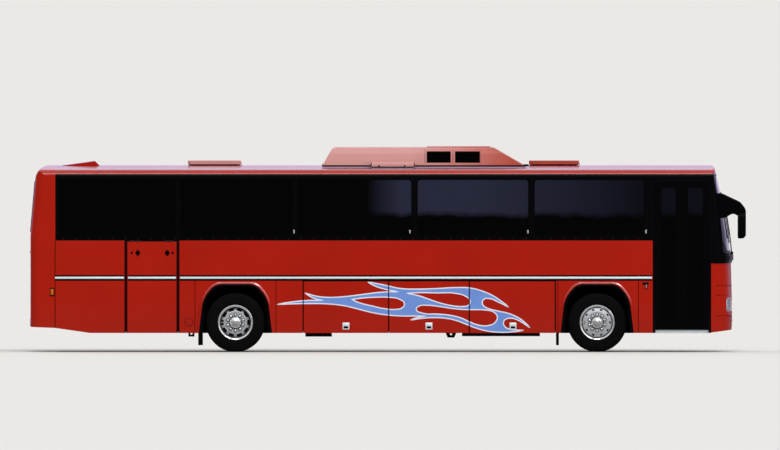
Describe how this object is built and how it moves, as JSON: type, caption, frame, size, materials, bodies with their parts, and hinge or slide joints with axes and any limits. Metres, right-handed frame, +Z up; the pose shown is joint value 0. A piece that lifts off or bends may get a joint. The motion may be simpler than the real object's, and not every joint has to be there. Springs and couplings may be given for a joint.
{
  "type": "touring coach bus",
  "caption": "Single-deck touring coach with a high belt line, dark glass band, folding entry door, luggage doors, rear service doors, roof unit and twin rear wheels.",
  "frame": {"origin": "on the ground, midway along the whole length with the mirrors and midway across", "axes": "+X forward along the coach, +Y to its left, +Z up"},
  "size_m": [12.246, 2.74, 3.505],
  "materials": {
    "body_paint": "glossy",
    "dark_glass": "tinted",
    "black_trim": "satin",
    "chassis_black": "satin",
    "axle_iron": "rough",
    "tyre_rubber": "matt",
    "spring_rubber": "matt",
    "polished_alloy": "polished",
    "tread_plate": "ribbed",
    "floor_lining": "matt",
    "seat_cloth": "plush",
    "lamp_clear": "clear",
    "lamp_red": "glossy",
    "unit_paint": "chalky"
  },
  "bodies": {
    "coach_body": {"right_side_wall": "body_paint", "left_side_wall": "body_paint", "roof": "body_paint", "front_mask": "body_paint", "rear_mask": "body_paint", "side_windows": "dark_glass", "end_windows": "dark_glass", "saloon_floor": "floor_lining", "step_well": "tread_plate", "luggage_bays": "chassis_black", "chassis_frame": "chassis_black", "front_axle": "axle_iron", "rear_axle": "axle_iron", "engine": "axle_iron", "propshaft": "axle_iron", "fuel_tank": "chassis_black", "air_springs": "spring_rubber", "wheel_housings": "black_trim", "roof_unit": "unit_paint", "roof_unit_louvres": "black_trim", "mirrors": "black_trim", "head_lamps": "lamp_clear", "tail_lamps": "lamp_red", "dashboard": "black_trim", "seats": "seat_cloth", "luggage_racks": "floor_lining"},
    "luggage_door_right_rear": {"luggage_door_right_rear": "body_paint"},
    "luggage_door_right_middle": {"luggage_door_right_middle": "body_paint"},
    "luggage_door_right_front": {"luggage_door_right_front": "body_paint"},
    "service_door_right": {"service_door_right": "body_paint"},
    "luggage_door_left_rear": {"luggage_door_left_rear": "body_paint"},
    "luggage_door_left_middle": {"luggage_door_left_middle": "body_paint"},
    "luggage_door_left_front": {"luggage_door_left_front": "body_paint"},
    "service_door_left": {"service_door_left": "body_paint"},
    "engine_lid": {"engine_lid": "body_paint"},
    "roof_hatch_rear": {"roof_hatch_rear": "body_paint"},
    "roof_hatch_front": {"roof_hatch_front": "body_paint"},
    "entry_door_front": {"entry_door_front_leaf": "black_trim", "entry_door_front_glass": "dark_glass"},
    "entry_door_rear": {"entry_door_rear_leaf": "black_trim", "entry_door_rear_glass": "dark_glass"},
    "knuckle_right": {"knuckle_right": "axle_iron"},
    "front_wheel_right": {"front_rim_right": "polished_alloy", "front_tyre_right": "tyre_rubber"},
    "rear_wheels_right": {"rear_rims_right": "polished_alloy", "rear_tyres_right": "tyre_rubber"},
    "knuckle_left": {"knuckle_left": "axle_iron"},
    "front_wheel_left": {"front_rim_left": "polished_alloy", "front_tyre_left": "tyre_rubber"},
    "rear_wheels_left": {"rear_rims_left": "polished_alloy", "rear_tyres_left": "tyre_rubber"}
  },
  "joints": [
    {"name": "luggage_door_right_rear_hinge", "type": "hinge", "parent": "coach_body", "child": "luggage_door_right_rear", "pos_m": [-0.718, -1.279, 1.237], "axis": [-1, 0, 0], "range_deg": [0, 85]},
    {"name": "luggage_door_right_middle_hinge", "type": "hinge", "parent": "coach_body", "child": "luggage_door_right_middle", "pos_m": [0.703, -1.279, 1.237], "axis": [-1, 0, 0], "range_deg": [0, 85]},
    {"name": "luggage_door_right_front_hinge", "type": "hinge", "parent": "coach_body", "child": "luggage_door_right_front", "pos_m": [2.1285, -1.279, 1.237], "axis": [-1, 0, 0], "range_deg": [0, 85]},
    {"name": "service_door_right_hinge", "type": "hinge", "parent": "coach_body", "child": "service_door_right", "pos_m": [-4.0345, -1.279, 1.897], "axis": [-1, 0, 0], "range_deg": [0, 80]},
    {"name": "luggage_door_left_rear_hinge", "type": "hinge", "parent": "coach_body", "child": "luggage_door_left_rear", "pos_m": [-0.718, 1.279, 1.237], "axis": [1, 0, 0], "range_deg": [0, 85]},
    {"name": "luggage_door_left_middle_hinge", "type": "hinge", "parent": "coach_body", "child": "luggage_door_left_middle", "pos_m": [0.703, 1.279, 1.237], "axis": [1, 0, 0], "range_deg": [0, 85]},
    {"name": "luggage_door_left_front_hinge", "type": "hinge", "parent": "coach_body", "child": "luggage_door_left_front", "pos_m": [2.1285, 1.279, 1.237], "axis": [1, 0, 0], "range_deg": [0, 85]},
    {"name": "service_door_left_hinge", "type": "hinge", "parent": "coach_body", "child": "service_door_left", "pos_m": [-4.0345, 1.279, 1.897], "axis": [1, 0, 0], "range_deg": [0, 80]},
    {"name": "engine_lid_hinge", "type": "hinge", "parent": "coach_body", "child": "engine_lid", "pos_m": [-6.116, 0, 1.697], "axis": [0, 1, 0], "range_deg": [0, 80]},
    {"name": "roof_hatch_rear_hinge", "type": "hinge", "parent": "coach_body", "child": "roof_hatch_rear", "pos_m": [-2.508, 0, 3.216], "axis": [0, 1, 0], "range_deg": [0, 60]},
    {"name": "roof_hatch_front_hinge", "type": "hinge", "parent": "coach_body", "child": "roof_hatch_front", "pos_m": [3.271, 0, 3.216], "axis": [0, 1, 0], "range_deg": [0, 60]},
    {"name": "entry_door_fold", "type": "hinge", "parent": "coach_body", "child": "entry_door_front", "pos_m": [5.488, -1.232, 1.65], "axis": [0, 0, -1], "range_deg": [0, 85]},
    {"name": "entry_door_seam", "type": "hinge", "parent": "entry_door_front", "child": "entry_door_rear", "pos_m": [5.0285, -1.278, 1.65], "axis": [0, 0, 1], "range_deg": [0, 170]},
    {"name": "steering_right", "type": "hinge", "parent": "coach_body", "child": "knuckle_right", "pos_m": [3.578, -0.9, 0.505], "axis": [0, 0, 1], "range_deg": [-42, 42]},
    {"name": "front_wheel_right_spin", "type": "hinge", "parent": "knuckle_right", "child": "front_wheel_right", "pos_m": [3.578, -1.07, 0.505], "axis": [0, 1, 0], "continuous": true},
    {"name": "rear_wheels_right_spin", "type": "hinge", "parent": "coach_body", "child": "rear_wheels_right", "pos_m": [-2.607, -1.11, 0.505], "axis": [0, 1, 0], "continuous": true},
    {"name": "steering_left", "type": "hinge", "parent": "coach_body", "child": "knuckle_left", "pos_m": [3.578, 0.9, 0.505], "axis": [0, 0, 1], "range_deg": [-42, 42]},
    {"name": "front_wheel_left_spin", "type": "hinge", "parent": "knuckle_left", "child": "front_wheel_left", "pos_m": [3.578, 1.07, 0.505], "axis": [0, 1, 0], "continuous": true},
    {"name": "rear_wheels_left_spin", "type": "hinge", "parent": "coach_body", "child": "rear_wheels_left", "pos_m": [-2.607, 1.11, 0.505], "axis": [0, 1, 0], "continuous": true}
  ],
  "couplings": [
    {"joint": "entry_door_seam", "follows": "entry_door_fold", "ratio": 2},
    {"joint": "steering_right", "follows": "steering_left", "ratio": 1}
  ]
}
